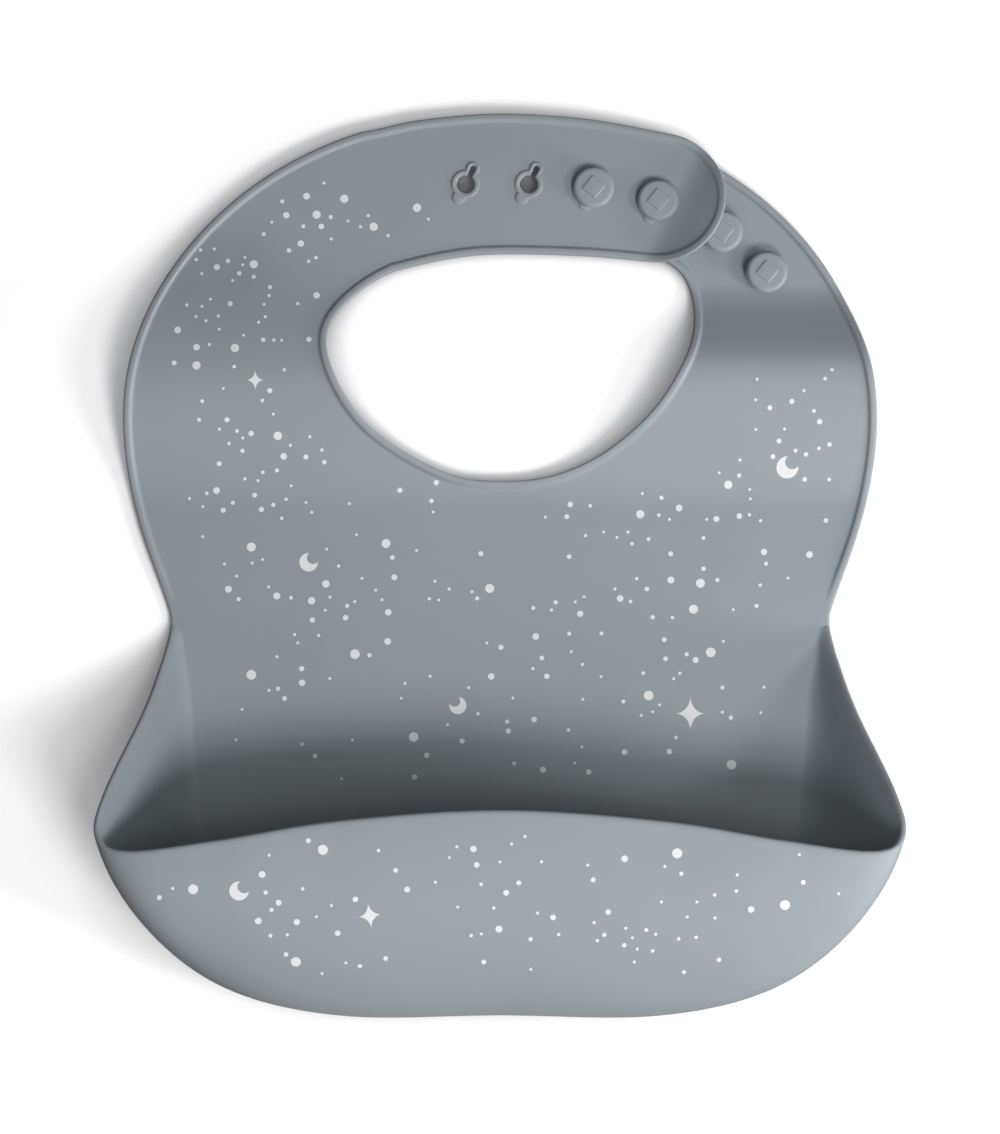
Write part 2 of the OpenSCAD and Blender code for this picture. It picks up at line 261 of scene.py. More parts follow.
def edge_profile(proud):
    """Section of an edge as (distance in from the edge, height), from the back round to the front."""
    top = SHEET + proud
    return [(EDGE_REACH, 0), (0.9, 0), (0.45, 0.06), (0.15, 0.25), (0.02, 0.6), (0, 0.9),
            (0, top - 0.75), (0.07, top - 0.38), (0.26, top - 0.13), (0.6, top - 0.01), (1.0, top),
            (EDGE_W - 0.9, top), (EDGE_W - 0.55, top - 0.06 * proud),
            (EDGE_W - 0.25, SHEET + 0.55 * proud), (EDGE_W, SHEET + 0.12 * proud),
            (EDGE_W + 0.3, SHEET), (EDGE_REACH, SHEET)]


def strip_rows(edge, spine, back_of, count, proud_of, round_end=False):
    """Rows of points from the spine's back, round the edge, to the spine's front.

    Each side has count points between the spine and the edge's section. A row that runs slantwise to
    the edge is stretched, so that the edge keeps its width.
    """
    edge = np.asarray(edge, float)
    spine = np.asarray(spine, float)
    tangent = np.gradient(edge, axis=0)
    tangent /= np.linalg.norm(tangent, axis=1)[:, None] + 1e-12
    rows = []
    for k, (e, s, t) in enumerate(zip(edge, spine, tangent)):
        d = s - e
        length = np.linalg.norm(d)
        d = d / length
        slant = max(0.5, abs(d[0] * t[1] - d[1] * t[0]))
        if (round_end and k == len(edge) - 1) or slant > 0.999:
            slant = 1.0
        start = EDGE_REACH / slant
        ins = [length + (start - length) * j / count for j in range(count)]
        row = [(a, 0.0) for a in ins] + [(a / slant, h) for a, h in edge_profile(proud_of(*e))]
        row += [(a, SHEET) for a in reversed(ins)]
        points = []
        for a, h in row:
            q = e + d * a
            points.append((q[0], -(back_of(q[0], q[1]) + h), q[1]))
        rows.append(points)
    return rows


# ---- Meshes ----

# Welding distance in metres, and the sharpest angle in degrees that a skin shades smoothly
WELD = 2e-6
SKIN_SHARP = 50


def add_rows(bm, rows):
    """Joins rows of points, given in millimetres, by quads."""
    made = [[bm.verts.new(Vector(p) * MM) for p in row] for row in rows]
    for r0, r1 in zip(made[:-1], made[1:]):
        for k in range(len(r0) - 1):
            bm.faces.new((r0[k], r0[k + 1], r1[k + 1], r1[k]))


def mark_sharp(bm, sharp_deg):
    """Smooth shading everywhere except across edges sharper than the limit."""
    limit = math.radians(sharp_deg)
    for f in bm.faces:
        f.smooth = True
    for e in bm.edges:
        e.smooth = len(e.link_faces) != 2 or e.calc_face_angle(0) <= limit


def make_object(name, bm):
    """An object in the scene with the finished mesh."""
    mesh = bpy.data.meshes.new(name)
    bm.to_mesh(mesh)
    bm.free()
    obj = bpy.data.objects.new(name, mesh)
    bpy.context.scene.collection.objects.link(obj)
    return obj


def finish_mesh(name, bm, sharp_deg=SKIN_SHARP):
    """Welds, caps and shades a mesh, and returns its object."""
    bmesh.ops.remove_doubles(bm, verts=bm.verts, dist=WELD)
    bmesh.ops.dissolve_degenerate(bm, edges=bm.edges, dist=1e-7)
    bmesh.ops.delete(bm, geom=[e for e in bm.edges if not e.link_faces], context="EDGES")
    bmesh.ops.holes_fill(bm, edges=[e for e in bm.edges if e.is_boundary], sides=0)
    bmesh.ops.recalc_face_normals(bm, faces=bm.faces)
    mark_sharp(bm, sharp_deg)
    return make_object(name, bm)


def finish_surface(name, bm):
    """An open surface whose faces all look towards the front."""
    bm.normal_update()
    bmesh.ops.reverse_faces(bm, faces=[f for f in bm.faces if f.normal.y > 0])
    return make_object(name, bm)


# ---- Outlines ----

def crown_point(a):
    """A point of the round top, a slightly square ellipse."""
    return [HALF_W * math.copysign(abs(math.cos(a))**CROWN_ROUND, math.cos(a)),
            CROWN_Z + CROWN_H * abs(math.sin(a))**CROWN_ROUND]


def closed(points):
    """A smooth closed curve through the points that ends where it starts."""
    loop = loop_curve(points, 16)
    return np.vstack([loop, loop[:1]])


def on_circle(centre, r, a):
    return centre + r * np.array([math.cos(a), math.sin(a)])


CROWN = np.array([crown_point(a) for a in np.linspace(0, math.pi, 181)])
SIDE_Z = np.linspace(CROWN_Z, SEAM_Z, 24)
RIGHT_SIDE = np.array([[half_width(z), z] for z in SIDE_Z])
LEFT_SIDE = RIGHT_SIDE * [-1, 1]
NECK_LOOP = closed(NECK)
BUTTON_LOOP = closed(BUTTON_NECK)
TIP_FROM = math.radians(79)
TIP_TO = math.radians(-97)
TIP_TOP = on_circle(TIP_C, TIP_R, TIP_FROM)
TIP_LOW = on_circle(TIP_C, TIP_R, TIP_TO)
STRAP_TOP = open_curve([STRAP_TOP_START, (-22, 72.5), (0, 74.2), (25, 72.7), TIP_TOP], 12)
STRAP_LOW = open_curve([STRAP_LOW_START, (-15, 32.2), (0, 33.6), (25, 33.0), TIP_LOW], 12)


def polyline_between(poly, start, end, n):
    """n + 1 evenly spaced points of a polyline between the vertices nearest to start and end."""
    i = int(np.argmin(np.linalg.norm(poly - start, axis=1)))
    j = int(np.argmin(np.linalg.norm(poly - end, axis=1)))
    part = poly[i:j + 1] if i <= j else poly[j:i + 1][::-1]
    return resample(part, n)


# Points from an arm's spine to its edge section, and where the spine meets the seam
ARM_ROWS = 9
SPINE_FOOT_X = 62.0


def add_arm(bm, side, loop, outline, back_of, turn, last_in, last_out, n, round_end=False):
    """The ring from the middle of the chest to last_in and last_out, as strips that share one spine.

    The first rows run from the neck opening down to the seam, as far as the angle turn. The cut along
    the seam is closed here; the two straight ends are closed by finish_mesh.
    """
    across = 30
    start = -math.pi / 2 if side > 0 else 3 * math.pi / 2
    finish = angle_of(last_in) if side > 0 else angle_of(last_in) % (2 * math.pi)
    angles = list(start + (turn - start) * np.arange(across) / across)
    angles += list(turn + (finish - turn) * np.arange(n + 1) / n)
    inner = np.array([ray_hit(loop, NECK_C, a) for a in angles])
    inner[-1] = last_in
    outer = polyline_between(outline, outline[0], last_out, n)
    outer[-1] = last_out
    corner = np.array([side * SPINE_FOOT_X, SEAM_Z])
    seam = np.array([NECK_C[0], SEAM_Z])
    seam = seam + (corner - seam) * (np.arange(across) / across)[:, None]
    middle = (inner[across:] + outer) / 2
    lead = ease(np.arange(n + 1) / (0.42 * n))[:, None]
    spine = corner * (1 - lead) + middle * lead
    rows = strip_rows(inner, np.vstack([seam, spine]), back_of, ARM_ROWS, full_edge, round_end)
    add_rows(bm, rows)
    add_rows(bm, [[row[0], row[-1]] for row in rows[:across + 1]])
    add_rows(bm, strip_rows(outer, spine, back_of, ARM_ROWS, full_edge, round_end))


def add_round_end(bm, centre, r, a_from, a_to, back_of):
    """A strap's round end, fanned from its centre."""
    angles = np.linspace(a_from, a_to, 61)
    end = centre + r * np.c_[np.cos(angles), np.sin(angles)]
    spine = np.repeat([centre], len(end), axis=0)
    add_rows(bm, strip_rows(end, spine, back_of, ARM_ROWS, lambda x, z: EDGE_PROUD))


def build_left_arm():
    """Left half of the chest's top and the left shoulder, up to a seam across the arm."""
    bm = bmesh.new()
    outline = np.vstack([LEFT_SIDE[::-1], CROWN[::-1][1:]])
    seam = math.radians(155)
    seam_in = ray_hit(NECK_LOOP, NECK_C, seam)
    seam_out = ray_hit(outline, NECK_C, seam)
    add_arm(bm, -1, NECK_LOOP, outline, back_of_left, math.radians(218), seam_in, seam_out, 90)
    return finish_mesh("skin_left_shoulder", bm), seam_in, seam_out


def build_keyhole_strap(seam_in, seam_out):
    """The keyhole strap, from the seam across the left arm to its round end."""
    bm = bmesh.new()
    n = 110
    neck_part = polyline_between(NECK_LOOP[::-1], seam_in, np.array(STRAP_LOW_START), 12)
    neck_part[0] = seam_in
    inner = resample(np.vstack([neck_part, STRAP_LOW[1:]]), n)
    crown_part = polyline_between(CROWN[::-1], seam_out, np.array(STRAP_TOP_START), 30)
    crown_part[0] = seam_out
    outer = resample(np.vstack([crown_part[:-2], STRAP_TOP[1:]]), n)
    settle = ease((np.arange(n + 1) - 0.8 * n) / (0.2 * n))[:, None]
    spine = (inner + outer) / 2 + (TIP_C - (inner[-1] + outer[-1]) / 2) * settle
    for edge in (inner, outer):
        add_rows(bm, strip_rows(edge, spine, back_of_left, ARM_ROWS, full_edge, True))
    add_round_end(bm, TIP_C, TIP_R, TIP_FROM, TIP_TO, back_of_left)
    return finish_mesh("skin_keyhole_strap", bm)


def build_right_arm():
    """Right half of the chest's top, the right shoulder and the button strap to its round end."""
    bm = bmesh.new()
    outline = np.vstack([RIGHT_SIDE[::-1], CROWN[1:]])
    inner_end = BUTTON_TIP_C - [0, BUTTON_TIP_R]
    outer_end = BUTTON_TIP_C + [0, BUTTON_TIP_R]
    add_arm(bm, 1, BUTTON_LOOP, outline, back_of_right, math.radians(-38), inner_end, outer_end, 170,
            True)
    add_round_end(bm, BUTTON_TIP_C, BUTTON_TIP_R, math.pi / 2, 3 * math.pi / 2, back_of_right)
    return finish_mesh("skin_right_shoulder", bm)


def build_chest():
    """The apron from the seam across the chest down to the top of the pocket."""
    bm = bmesh.new()
    heights = np.linspace(SEAM_Z, LAP_Z, 30)
    spine = np.array([[0.0, z] for z in heights])
    for side in (-1, 1):
        edge = np.array([[side * half_width(z), z] for z in heights])
        add_rows(bm, strip_rows(edge, spine, back_of_right, 24, full_edge))
    return finish_mesh("skin_chest", bm)


# ---- The pocket ----

RIM_Z = FLOOR_Z + 39
RIBS = [
    # start [x, z] on the back plane, handle there, rim point [x, y, z], handle at the rim
    ((0, FLOOR_Z), 34, (0, -47, RIM_Z), (0, 4, -72)),
    ((40, FLOOR_Z), 35, (45, -47, RIM_Z - 3), (-1, 4, -68)),
    ((64, FLOOR_Z + 2.5), 29.6, (78, -47.2, RIM_Z - 8.3), (-2, 4, -56)),
    ((77, FLOOR_Z + 11), 22, (103.9, -46.5, RIM_Z - 11.4), (-9.4, 3.5, -41)),
    ((84, FLOOR_Z + 25), 14, (112.8, -42.3, RIM_Z - 7), (-4.7, 7, -23)),
    ((87, FLOOR_Z + 45), 10, (111.4, -35.2, RIM_Z + 4), (-8, 11, -6)),
    ((88.8, FLOOR_Z + 68), 6.5, (102.2, -17.9, RIM_Z + 26), (-5, 6, -1)),
    ((90.6, WAIST_Z - 13), 4, (98, -7, WAIST_Z - 13.5), (-3, 2.5, 0)),
    ((92.0, LAP_Z), 1.2, (WAIST_HALF_W, 0, LAP_Z), (-1.2, 0, 0)),
]
RIB_LAST = len(RIBS) - 1
RIB_STEPS = 10
PANEL_N = 16

# How far the rim's last rows draw in, as shares of the thickness
RIM_ROUND = [0.0, 0.0, 0.03, 0.1, 0.24, 0.5]


def from_ribs(item, s, flip):
    """One item of the ribs at place s; the first rib's mirror image keeps the middle smooth."""
    values = [np.atleast_1d(np.array(r[item], float)) for r in RIBS]
    return along([values[1] * flip] + values, s + 1)


def rib_controls(s):
    """The four control points of the rib at place s; it leaves the panel square to its outline."""
    a = abs(s)
    side = -1 if s < 0 else 1
    p0 = from_ribs(0, a, [-1, 1])
    d = from_ribs(0, min(RIB_LAST, a + 0.05), [-1, 1]) - from_ribs(0, max(-1, a - 0.05), [-1, 1])
    out = np.array([d[1], -d[0]]) / np.linalg.norm(d) * from_ribs(1, a, 1)
    p3 = from_ribs(2, a, [-1, 1, 1])
    handle = from_ribs(3, a, [-1, 1, 1])
    pts = [np.array([p0[0], 0, p0[1]]), np.array([p0[0] + out[0], 0, p0[1] + out[1]]), p3 + handle, p3]
    return [q * [side, 1, 1] for q in pts]


def pocket_outside():
    """A grid over the outer face: each row runs from the panel's spine along one rib to the rim."""
    grid = []
    for s in np.arange(-RIB_LAST * RIB_STEPS, RIB_LAST * RIB_STEPS + 1) / RIB_STEPS:
        c = rib_controls(s)
        spine = np.array([0, 0, LAP_Z + (c[0][2] - LAP_Z) * 0.8])
        panel = [spine + (c[0] - spine) * k / PANEL_N for k in range(PANEL_N)]
        # the last part of a rib, where points crowd so that the rim can be rounded
        near_rim = min(0.45, EDGE_REACH / (3 * np.linalg.norm(c[3] - c[2])))
        ts = list((1 - near_rim) * (np.arange(46) / 45))
        ts += [1 - near_rim * w for w in (0.75, 0.5, 0.28, 0.14, 0.05, 0.0)]
        grid.append(panel + [bezier(c, t) for t in ts])
    return np.array(grid)


def build_pocket():
    """Back panel below the lap, gussets, floor and front wall, as one sheet."""
    outer = pocket_outside()
    inward = np.cross(np.gradient(outer, axis=1), np.gradient(outer, axis=0))
    inward /= np.linalg.norm(inward, axis=2)[:, :, None] + 1e-12
    inward[:, :PANEL_N] = [0, -1, 0]
    shares = np.zeros(outer.shape[1])
    shares[-len(RIM_ROUND):] = RIM_ROUND
    draw = inward * SHEET * shares[:, None]
    inner = outer + inward * SHEET - draw
    bm = bmesh.new()
    add_rows(bm, np.concatenate([outer + draw, inner[:, ::-1]], axis=1))
    return finish_mesh("skin_pocket", bm)


# ---- Keyholes and studs ----

# A keyhole's opening and the collar round it; each lobe is (direction, reach, radius)
HOLE_R = 2.6
SLOT_REACH = 5.05
SLOT_HALF_W = 0.8
COLLAR_R = 4.05
COLLAR_LOBES = [(KEYHOLE_TILT, SLOT_REACH, 1.9), (KEYHOLE_TILT + math.pi, 4.4, 1.9)]
COLLAR_PROUD = 0.5
COLLAR_DIP = 0.12


def turn_from(direction, angle):
    """The angle measured from a direction, between half a turn back and half a turn on."""
    return math.atan2(math.sin(angle - direction), math.cos(angle - direction))


def collar_radius(angle):
    """Outline of a collar, a circle with two round lobes, as a radius at an angle."""
    best = COLLAR_R
    for direction, reach, lobe_r in COLLAR_LOBES:
        off = turn_from(direction, angle)
        across = abs(math.sin(off)) * reach
        if abs(off) < math.pi / 2 and across < lobe_r:
            best = max(best, reach * math.cos(off) + math.sqrt(lobe_r**2 - across**2))
    return best


def hole_radius(angle):
    """Outline of a keyhole's opening, a circle with a straight slot that ends in a round."""
    best = HOLE_R
    off = turn_from(KEYHOLE_TILT, angle)
    if abs(off) < math.pi / 2:
        side = SLOT_HALF_W / max(1e-6, abs(math.sin(off)))
        if side * math.cos(off) < SLOT_REACH:
            best = max(best, side)
        elif abs(math.sin(off)) * SLOT_REACH < SLOT_HALF_W:
            across = math.sin(off) * SLOT_REACH
            best = max(best, SLOT_REACH * math.cos(off) + math.sqrt(SLOT_HALF_W**2 - across**2))
        else:
            best = max(best, min(side, math.hypot(SLOT_REACH, SLOT_HALF_W)))
    return best


def key_angles():
    """Angles round a keyhole, closer together where the slot opens."""
    slot = 0.34
    wide = np.linspace(0, 2 * math.pi, 160, endpoint=False)
    fine = KEYHOLE_TILT + np.linspace(-slot, slot, 57)
    far = [a for a in wide if abs(math.remainder(a - KEYHOLE_TILT, 2 * math.pi)) > slot + 0.005]
    return sorted([a % (2 * math.pi) for a in fine] + far)


def build_collar(name, centre):
    """A raised rim round one keyhole, with a rounded top, through the strap's thickness."""
    bm = bmesh.new()
    rows = []
    top = SHEET + COLLAR_PROUD
    dip = top - COLLAR_DIP
    bottom = 0.02
    for a in key_angles():
        outer = collar_radius(a)
        hole = hole_radius(a)
        soft = min(0.35, (outer - hole) * 0.3)
        nip = soft * 0.3
        section = [(outer, bottom), (outer, top - soft), (outer - nip, top - nip), (outer - soft, top),
                   (hole + soft, dip), (hole + nip, dip - nip), (hole, dip - soft), (hole, bottom)]
        rows.append([(centre[0] + r * math.cos(a), -(STRAP_BACK + h), centre[1] + r * math.sin(a))
                     for r, h in section])
    rows = [row + row[:1] for row in rows]
    add_rows(bm, rows + rows[:1])
    return finish_mesh(name, bm, 60)


def keyhole_cutter():
    """A post through each keyhole, slightly narrower than the collar that covers the cut."""
    under = 0.12
    bm = bmesh.new()
    for centre in KEYHOLES:
        ring = []
        for a in np.linspace(0, 2 * math.pi, 120, endpoint=False):
            r = collar_radius(a) - under
            ring.append((centre[0] + r * math.cos(a), centre[1] + r * math.sin(a)))
        low = [bm.verts.new(Vector((x, 5, z)) * MM) for x, z in ring]
        high = [bm.verts.new(Vector((x, -15, z)) * MM) for x, z in ring]
        for k in range(len(ring)):
            j = (k + 1) % len(ring)
            bm.faces.new((low[k], low[j], high[j], high[k]))
        bm.faces.new(low[::-1])
        bm.faces.new(high)
    return finish_mesh("cutter", bm)


def cut_keyholes(strap):
    """Opens the strap under each collar, and shades its level parts flat."""
    cutter = keyhole_cutter()
    cut = strap.modifiers.new("keyholes", "BOOLEAN")
    cut.operation = "DIFFERENCE"
    cut.solver = "EXACT"
    cut.object = cutter
    apply_modifiers(strap)
    bpy.data.objects.remove(cutter)
    bm = bmesh.new()
    bm.from_mesh(strap.data)
    mark_sharp(bm, SKIN_SHARP)
    for f in bm.faces:
        if f.normal.y < -0.99999:
            f.smooth = False
    bm.to_mesh(strap.data)
    bm.free()


def apply_modifiers(obj):
    graph = bpy.context.evaluated_depsgraph_get()
    mesh = bpy.data.meshes.new_from_object(obj.evaluated_get(graph))
    obj.modifiers.clear()
    obj.data = mesh


# A stud's stem, its head's thickness, and the square relief on the head
STEM_R = 1.6
HEAD_T = 2.0
PAD_HALF = 2.3
PAD_PROUD = 0.25


def build_stud(name, node):
    """A stud: a short stem with a fillet, and a soft-edged head. Also gives its centre and face."""
    low, high = box_mm(node)
    centre = (low + high) / 2
    r = (high[0] - low[0]) / 2
    face = -low[1] - PAD_PROUD
    back = face - HEAD_T
    profile = [(0, SHEET - 0.3), (2.4, SHEET - 0.3), (2.2, SHEET + 0.03), (1.8, SHEET + 0.2),
               (STEM_R, SHEET + 0.6), (STEM_R, back - 0.2), (1.8, back), (r - 0.45, back + 0.04),
               (r - 0.15, back + 0.15), (r - 0.02, back + 0.4), (r, back + 0.7), (r - 0.08, back + 1.0),
               (r - 0.5, face - 0.3), (r - 0.72, face - 0.12), (r - 1.0, face - 0.03),
               (r - 1.4, face), (0, face + 0.04)]
    bm = bmesh.new()
    rows = []
    for a in 2 * math.pi * np.arange(73) / 72:
        rows.append([(centre[0] + d * math.cos(a), -h, centre[2] + d * math.sin(a)) for d, h in profile])
    add_rows(bm, rows)
    return finish_mesh(name, bm, 65), centre, face


def square_ring(half, corner):
    """A square with round corners, as points round its centre."""
    ring = []
    for k in range(4):
        cx = (half - corner) * (1 if k in (0, 3) else -1)
        cz = (half - corner) * (1 if k in (0, 1) else -1)
        for j in range(7):
            a = math.pi / 2 * (k + j / 6)
            ring.append((cx + corner * math.cos(a), cz + corner * math.sin(a)))
    return ring


def build_pad(name, centre, face):
    """The square relief on a stud's face, with softened edges."""
    bm = bmesh.new()
    c, s = math.cos(PAD_TILT), math.sin(PAD_TILT)
    rows = []
    for grow, h in ((0.22, -0.2), (0.18, 0.04), (0.1, 0.2), (-0.05, 0.29), (-0.3, 0.32)):
        ring = square_ring(PAD_HALF + grow, 0.45)
        rows.append([(centre[0] + x * c - z * s, -(face + h), centre[2] + x * s + z * c)
                     for x, z in ring + ring[:1]])
    add_rows(bm, rows)
    return finish_mesh(name, bm, 60)


# ---- Printed motifs ----

# The ink's height over the skin and its depth under it
INK_T = 0.05
INK_ROOT = 0.15

# The least gap between two motifs, and the smallest dot's radius
MOTIF_GAP = 1.3
DOT_MIN = 0.42


def motif_rows(kind, r, turn):
    """A motif as five matching rows of points, which quads join."""
    if kind == "dot":
        up = np.linspace(0.001, math.pi - 0.001, 11)
        rows = [[(r * math.cos(a), r * math.sin(a)) for a in up],
                [(r * math.cos(a), -r * math.sin(a)) for a in up]]
    elif kind == "star":
        rows = [[(0.85 * r * math.copysign(abs(u)**1.75, u), side * r * (1 - abs(u))**1.75)
                 for u in np.linspace(1, -1, 25)]
                for side in (1, -1)]
    else:
        bite, away = 0.66 * r, 0.66 * r
        horn = math.acos((r**2 + away**2 - bite**2) / (2 * r * away))
        inner_horn = math.atan2(r * math.sin(horn), r * math.cos(horn) - away)
        steps = np.linspace(0, 1, 17)
        rows = [[(r * math.cos(a), r * math.sin(a)) for a in horn + (2 * math.pi - 2 * horn) * steps],
                [(away + bite * math.cos(a), bite * math.sin(a))
                 for a in inner_horn + (2 * math.pi - 2 * inner_horn) * steps]]
    c, s = math.cos(turn), math.sin(turn)
    first, last = [np.array(row) @ [[c, s], [-s, c]] for row in rows]
    return [first + (last - first) * share for share in (0, 0.25, 0.5, 0.75, 1)]


class Printer:
    """Lays flat motifs on the front of a skin."""

    def __init__(self, name, skin):
        self.name = name
        self.bm = bmesh.new()
        self.tree = BVHTree.FromObject(skin, bpy.context.evaluated_depsgraph_get())
        self.placed = []

    def drop(self, x, z):
        """The skin's front at x, z, and the direction it faces there."""
        hit = self.tree.ray_cast(Vector((x * MM, -0.3, z * MM)), Vector((0, 1, 0)))
        return hit[0], hit[1]

    def flat(self, x, z, r):
        """True where the sheet has no edge or step under a motif."""
        reach = r + 0.4
        points = [self.drop(x + dx * reach, z + dz * reach)[0]
                  for dx, dz in ((1, 0), (-1, 0), (0, 1), (0, -1), (0, 0))]
        if any(p is None for p in points):
            return False
        level = points[4].y
        return all(abs((points[k].y + points[k + 1].y) / 2 - level) < 0.06 * MM for k in (0, 2))

    def clear(self, x, z, r):
        """True where a motif keeps its distance from those already placed."""
        return all(math.hypot(x - px, z - pz) > r + pr + MOTIF_GAP for px, pz, pr in self.placed)

    def add(self, kind, x, z, r, turn=0.0):
        """One motif as a thin closed solid that follows the skin."""
        self.placed.append((x, z, r))
        layers = []
        for row in motif_rows(kind, r, turn):
            front, back = [], []
            for dx, dz in row:
                point, normal = self.drop(x + dx, z + dz)
                if point is None or normal.y > -0.25:
                    return
                front.append(self.bm.verts.new(point + normal * INK_T * MM))
                back.append(self.bm.verts.new(point - normal * INK_ROOT * MM))
            layers.append((front, back))
        new_face = self.bm.faces.new
        for (f0, b0), (f1, b1) in zip(layers[:-1], layers[1:]):
            for k in range(len(f0) - 1):
                new_face((f0[k], f0[k + 1], f1[k + 1], f1[k]))
                new_face((b0[k], b1[k], b1[k + 1], b0[k + 1]))
            new_face((f0[0], f1[0], b1[0], b0[0]))
            new_face((f0[-1], b0[-1], b1[-1], f1[-1]))
        for front, back in (layers[0], layers[-1]):
            for k in range(len(front) - 1):
                new_face((front[k], back[k], back[k + 1], front[k + 1]))

    def done(self):
        return finish_mesh(self.name, self.bm, 30)


def place(printer, r, spots):
    """The larger dots, each at its own spot."""
    for x, z in spots:
        printer.add("dot", x, z, r)


def scatter(printer, rng, clusters, low=-999, high=999):
    """Clusters of dots: (centre x, centre z, spread x, spread z, count, largest radius) each."""
    for cx, cz, sx, sz, count, r_max in clusters:
        done = 0
        for _ in range(count * 12):
            x = cx + sx * rng.uniform(-1.7, 1.7)
            z = cz + sz * rng.uniform(-1.7, 1.7)
            r = DOT_MIN + (r_max - DOT_MIN) * rng.random()**2.6
            if low < z < high and printer.clear(x, z, r) and printer.flat(x, z, r):
                printer.add("dot", x, z, r)
                done += 1
                if done == count:
                    break


# ---- Materials ----

def node_material(name):
    mat = bpy.data.materials.new(name)
    mat.use_nodes = True
    tree = mat.node_tree
    tree.nodes.clear()
    out = tree.nodes.new("ShaderNodeOutputMaterial")
    bsdf = tree.nodes.new("ShaderNodeBsdfPrincipled")
    tree.links.new(bsdf.outputs["BSDF"], out.inputs["Surface"])
    return mat, tree, bsdf


def noise(tree, scale, detail=3.0, rough=0.55):
    coords = tree.nodes.new("ShaderNodeTexCoord")
    tex = tree.nodes.new("ShaderNodeTexNoise")
    tex.inputs["Scale"].default_value = scale
    tex.inputs["Detail"].default_value = detail
    tex.inputs["Roughness"].default_value = rough
    tree.links.new(coords.outputs["Object"], tex.inputs["Vector"])
    return tex.outputs["Fac"]


def ranged(tree, value, low, high, start=0.0, end=1.0):
    """A value between start and end, carried over to the range from low to high."""
    node = tree.nodes.new("ShaderNodeMapRange")
    node.inputs["From Min"].default_value = start
    node.inputs["From Max"].default_value = end
    node.inputs["To Min"].default_value = low
    node.inputs["To Max"].default_value = high
    tree.links.new(value, node.inputs["Value"])
    return node.outputs["Result"]


def base_colour(tree, bsdf, first, second, factor):
    """Colours the surface between two colours, by a factor."""
    mix = tree.nodes.new("ShaderNodeMix")
    mix.data_type = "RGBA"
    mix.inputs["A"].default_value = (*first, 1)
    mix.inputs["B"].default_value = (*second, 1)
    tree.links.new(factor, mix.inputs["Factor"])
    tree.links.new(mix.outputs["Result"], bsdf.inputs["Base Color"])


def occlusion(tree, distance, inside=False):
    """How open the surface is to its surroundings within a distance, from 0 to 1."""
    node = tree.nodes.new("ShaderNodeAmbientOcclusion")
    node.inside = inside
    node.inputs["Distance"].default_value = distance
    return node.outputs["AO"]


def silicone_material():
    """Matte blue-grey silicone: soft sheen, a fine moulded grain and very slight mottling."""
    mat, tree, bsdf = node_material("silicone")
    base_colour(tree, bsdf, (0.268, 0.301, 0.327), (0.296, 0.329, 0.355), noise(tree, 22.0, 2.0))
    tree.links.new(ranged(tree, noise(tree, 160.0), 0.50, 0.60), bsdf.inputs["Roughness"])
    bsdf.inputs["Specular IOR Level"].default_value = 0.42
    bsdf.inputs["Sheen Weight"].default_value = 0.12
    bsdf.inputs["Sheen Roughness"].default_value = 0.5
    bump = tree.nodes.new("ShaderNodeBump")
    bump.inputs["Strength"].default_value = 0.06
    bump.inputs["Distance"].default_value = 0.0002
    tree.links.new(noise(tree, 2600.0, 2.0), bump.inputs["Height"])
    tree.links.new(bump.outputs["Normal"], bsdf.inputs["Normal"])
    return mat


def ink_material():
    """Pale grey ink film: matte, with a faint uneven cover."""
    mat, tree, bsdf = node_material("ink")
    base_colour(tree, bsdf, (0.70, 0.715, 0.73), (0.80, 0.815, 0.83), noise(tree, 900.0, 2.0))
    tree.links.new(ranged(tree, noise(tree, 500.0), 0.55, 0.7), bsdf.inputs["Roughness"])
    return mat


def backdrop_material():
    """Pale matte surface under the bib, with painted shade that makes it darker in hollows.

    It is clear from behind, and in front of any piece that has swung behind it.
    """
    mat, tree, bsdf = node_material("backdrop")
    bsdf.inputs["Roughness"].default_value = 0.9
    bsdf.inputs["Specular IOR Level"].default_value = 0.0
    bsdf.inputs["Emission Color"].default_value = (1.0, 0.985, 1.0, 1)
    # Painted shade: the colour darkens and the glow fades where the bib is close above it, as a contact
    # shadow round the bib and in its keyholes; the glow keeps the open surface white.
    painted_shade_openness = occlusion(tree, 0.03)
    base_colour(tree, bsdf, (0.20, 0.18, 0.19), (0.93, 0.925, 0.93), ranged(tree, painted_shade_openness, 0, 1, 0.2, 0.7))
    tree.links.new(ranged(tree, painted_shade_openness, 0, 0.36, 0.3), bsdf.inputs["Emission Strength"])
    from_behind = tree.nodes.new("ShaderNodeNewGeometry").outputs["Backfacing"]
    piece_behind = ranged(tree, occlusion(tree, 0.25, True), 1, 0, 0.9)
    clearing = tree.nodes.new("ShaderNodeMath")
    clearing.operation = "MAXIMUM"
    tree.links.new(from_behind, clearing.inputs[0])
    tree.links.new(piece_behind, clearing.inputs[1])
    clear = tree.nodes.new("ShaderNodeBsdfTransparent")
    surface = tree.nodes.new("ShaderNodeMixShader")
    tree.links.new(clearing.outputs["Value"], surface.inputs["Fac"])
    tree.links.new(bsdf.outputs["BSDF"], surface.inputs[1])
    tree.links.new(clear.outputs["BSDF"], surface.inputs[2])
    out = next(n for n in tree.nodes if n.type == "OUTPUT_MATERIAL")
    tree.links.new(surface.outputs["Shader"], out.inputs["Surface"])
    return mat


def dress(obj, material):
    """Gives a piece its only material."""
    obj.data.materials.clear()
    obj.data.materials.append(material)


# ---- Build the skin ----

silicone = silicone_material()
ink = ink_material()

left_arm, seam_in, seam_out = build_left_arm()
strap = build_keyhole_strap(seam_in, seam_out)
cut_keyholes(strap)
right_arm = build_right_arm()
chest = build_chest()
pocket = build_pocket()


def bend_left(obj):
    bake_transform(obj)


def bend_strap(obj):
    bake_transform(obj)


def bend_right(obj):
    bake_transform(obj)


def bend_waist(obj):
    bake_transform(obj)


